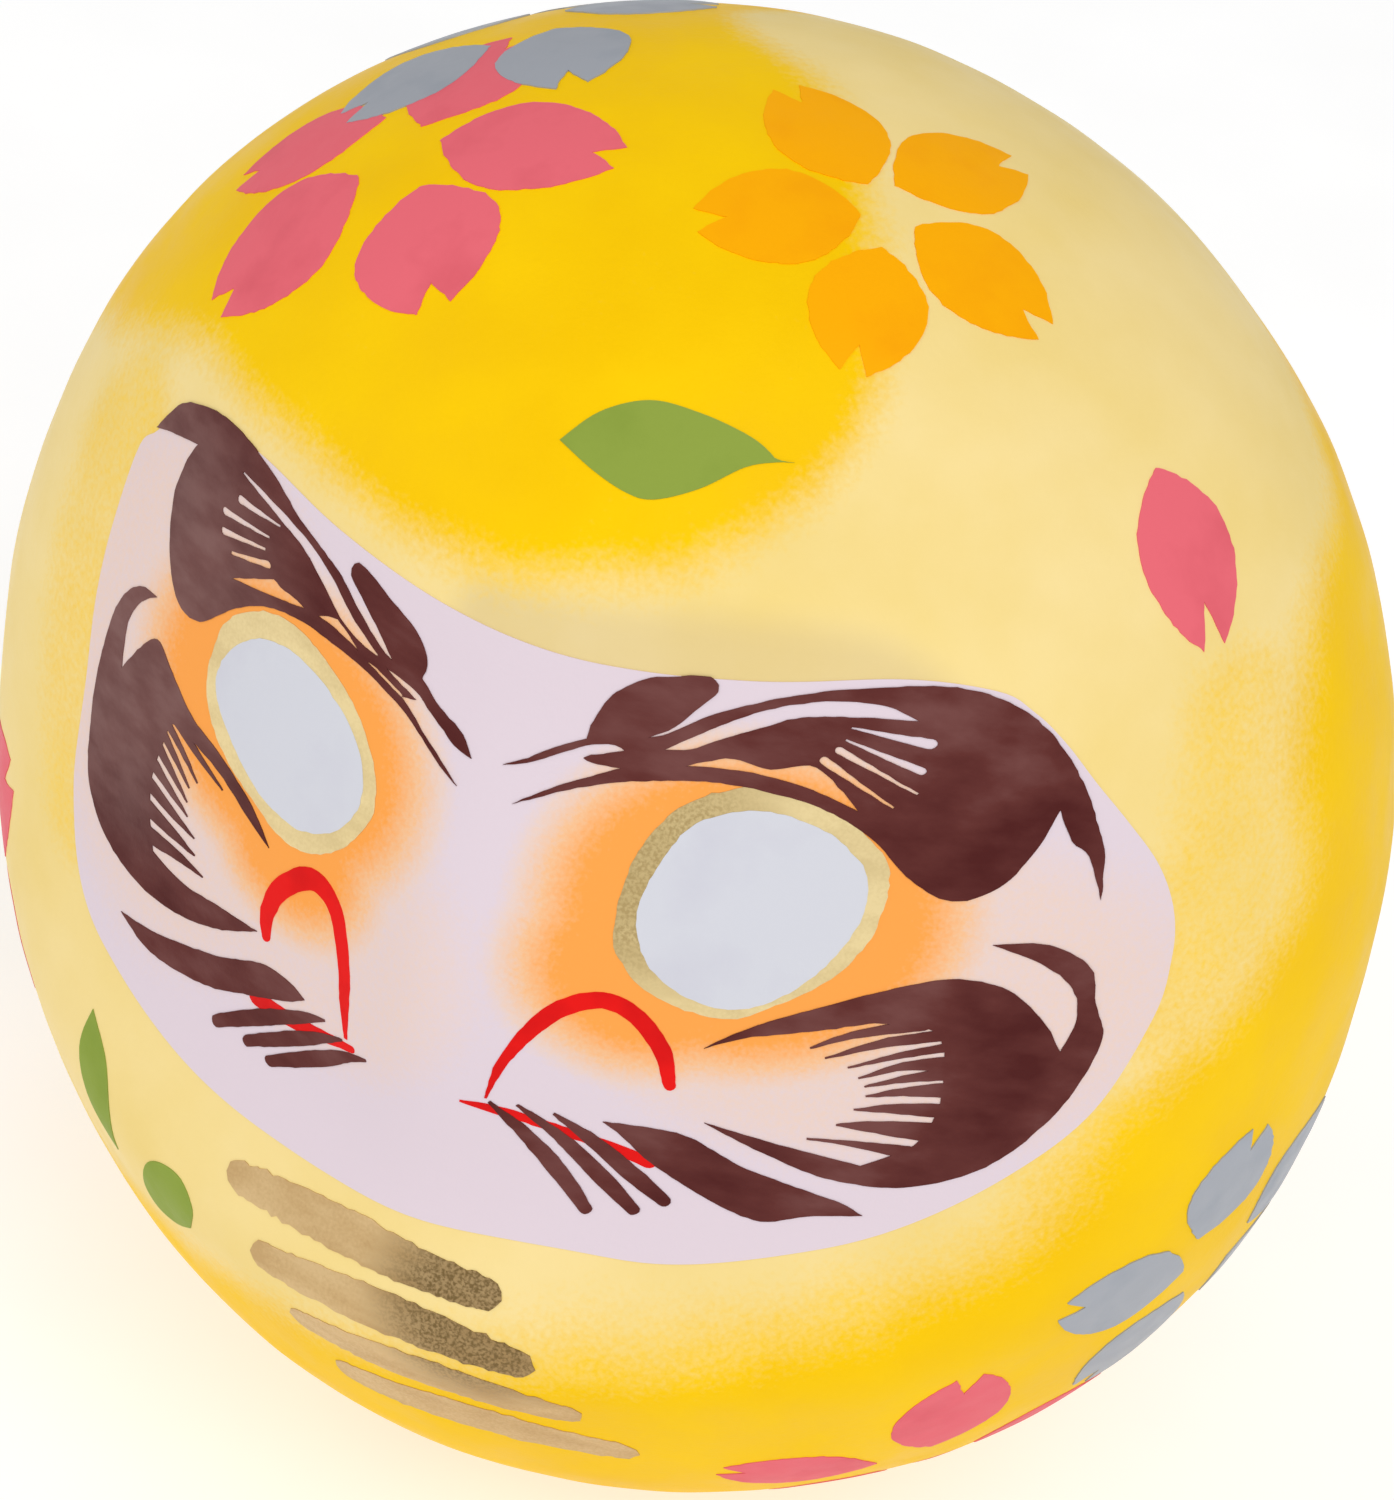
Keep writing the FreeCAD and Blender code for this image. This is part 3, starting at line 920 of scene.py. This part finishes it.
def gold_bands():
    """The middle line and width of each band, for stroke."""
    bands = []
    for i in range(BAND_COUNT):
        x = BAND_START[0] + i * BAND_STEP[0]
        z = BAND_START[1] + i * BAND_STEP[1]
        bands.append([(x, z, BAND_END_WIDTH), (x + BAND_LENGTH / 2, z + BAND_BOW, BAND_WIDTH),
                      (x + BAND_LENGTH, z, BAND_END_WIDTH)])
    return bands


def decorations():
    """Cherry blossoms and leaves over the egg, and a drift of gold on the belly."""
    orange = flat_paint("orange_paint", (250, 172, 0), (246, 163, 0))
    pink = flat_paint("pink_paint", (231, 106, 118), (220, 96, 108))
    grey = flat_paint("silver_grey_paint", (166, 170, 178), (154, 160, 170), 0.42, 0.2)
    green = flat_paint("green_paint", (140, 159, 66), (132, 152, 60))
    gold = gold_paint("mist_gold", (210, 180, 132), (194, 161, 112), (118, 96, 60), (12, -74, 62), 18)
    paint("blossom_orange", [flower((17, -13, 197), ORANGE_PETALS)], FLOWER_LAYER, orange)
    single = flower((65, -18, 169), [SINGLE_PETAL])
    low_pink = flower((62, -37, 34), LOW_PINK_PETALS)
    side_pink = flower((-78, -20, 70), even_petals(20, 5, 23, 9))
    crown_pink = flower((-41, -23, 186), CROWN_PINK_PETALS)
    paint("blossoms_pink", [crown_pink, single, low_pink, side_pink], FLOWER_LAYER, pink)
    crown_grey = flower((-40, 9, 190), CROWN_GREY_PETALS)
    side_grey = flower((88, -18, 66), SIDE_GREY_PETALS)
    paint("blossoms_grey", [crown_grey, side_grey], OVER_FLOWER_LAYER, grey)
    leaves = [(round_ray((10, -50, 180)), [cornered(LEAF)], []),
              (round_ray((-50, -62, 62)), [laid(cornered(SMALL_LEAF), -50)], []),
              (front_ray, [cornered(ROUND_LEAF)], [])]
    paint("leaves_green", leaves, FLOWER_LAYER, green)
    paint("gold_mist", [(front_ray, [mottle(stroke(line), 8, 0.5) for line in gold_bands()], [])],
          FLOWER_LAYER, gold)


# ---------------------------------------------------------------- what lies under the paint

def finish_inner_nodes():
    """The hidden CAD parts get their own materials."""
    finishes = {
        "paper_skin": paper_material("pasted_paper", (232, 224, 204), (214, 202, 176)),
        "seam_strip": paper_material("seam_paper", (226, 214, 188), (206, 190, 160)),
        "shell_front": paper_material("front_pulp", (196, 184, 162), (166, 152, 130), 5.0),
        "shell_back": paper_material("back_pulp", (194, 182, 160), (164, 150, 128), 5.0),
        "base_disc": paper_material("base_paper", (238, 232, 218), (222, 214, 196), 2.0),
        "glue_ring": glue_material(),
        "base_weight": clay_material(),
    }
    for name, material in finishes.items():
        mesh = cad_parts[name].data
        mesh.materials.clear()
        mesh.materials.append(material)


# ---------------------------------------------------------------- studio

def floor():
    """A pale floor that glows a little, so that it shows as white."""
    size = 6 * TOP_Z
    s = Shader("floor", (204, 204, 204), 0.9)
    s.set("Base Color", s.ramp(s.noise(40, 3), [(0.3, (202, 202, 202)), (0.7, (206, 206, 206))]))
    s.set("Emission Color", (1, 1, 1, 1))
    s.set("Emission Strength", 0.52)
    corners = [(-size, -size, 0), (size, -size, 0), (size, size, 0), (-size, size, 0)]
    piece = new_mesh("floor", corners, [(0, 1, 2, 3)], s.material)


def lamp(name, direction, distance, size, power):
    """A soft square lamp that shines at the doll's middle."""
    data = bpy.data.lights.new(name, "AREA")
    data.size = size
    data.energy = power
    piece = bpy.data.objects.new(name, data)
    bpy.context.scene.collection.objects.link(piece)
    back = Vector(direction).normalized()
    piece.location = MIDDLE * MM + back * distance
    piece.rotation_euler = back.to_track_quat("Z", "Y").to_euler()


def studio():
    floor()
    world = bpy.data.worlds.new("studio")
    world.use_nodes = True
    background = world.node_tree.nodes["Background"]
    background.inputs["Color"].default_value = (1, 1, 1, 1)
    background.inputs["Strength"].default_value = 0.56
    bpy.context.scene.world = world
    lamp("key", direction=(0.8, -0.8, 1.3), distance=1.1, size=0.9, power=5.6)
    lamp("fill", direction=(-1.0, -0.8, 0.6), distance=1.2, size=1.0, power=2.9)
    bpy.context.scene.view_settings.view_transform = "Standard"


# The camera looks down at the doll from its left front, with a slight roll
CAMERA_AZIMUTH = math.radians(19.26)
CAMERA_ELEVATION = math.radians(36.06)
CAMERA_ROLL = math.radians(9.9)
CAMERA_DISTANCE = 0.812
CAMERA_LENS = 147.8
CAMERA_SHIFT = (0.0081, 0.0024)


def camera():
    """The camera looks at the doll's middle from its angles, rolled about its own line of sight."""
    a, e, roll = CAMERA_AZIMUTH, CAMERA_ELEVATION, CAMERA_ROLL
    back = Vector((math.sin(a) * math.cos(e), -math.cos(a) * math.cos(e), math.sin(e)))
    level = Vector((math.cos(a), math.sin(a), 0))
    upright = back.cross(level)
    right = level * math.cos(roll) + upright * math.sin(roll)
    up = upright * math.cos(roll) - level * math.sin(roll)
    data = bpy.data.cameras.new("camera")
    data.lens = CAMERA_LENS
    data.shift_x, data.shift_y = CAMERA_SHIFT
    piece = bpy.data.objects.new("camera", data)
    bpy.context.scene.collection.objects.link(piece)
    place = Matrix((right, up, back)).transposed().to_4x4()
    place.translation = MIDDLE * MM + back * CAMERA_DISTANCE
    piece.matrix_world = place
    bpy.context.scene.camera = piece


# ---------------------------------------------------------------- build

body_points, body_faces = body_shape()
body_tree = BVHTree.FromPolygons(body_points, body_faces)
body = new_mesh("painted_body", body_points, body_faces, yellow_paint())
add_spray(body, body_points)
finish_piece(body)
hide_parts("ground_coat")
face_pieces()
decorations()
finish_inner_nodes()
studio()
camera()
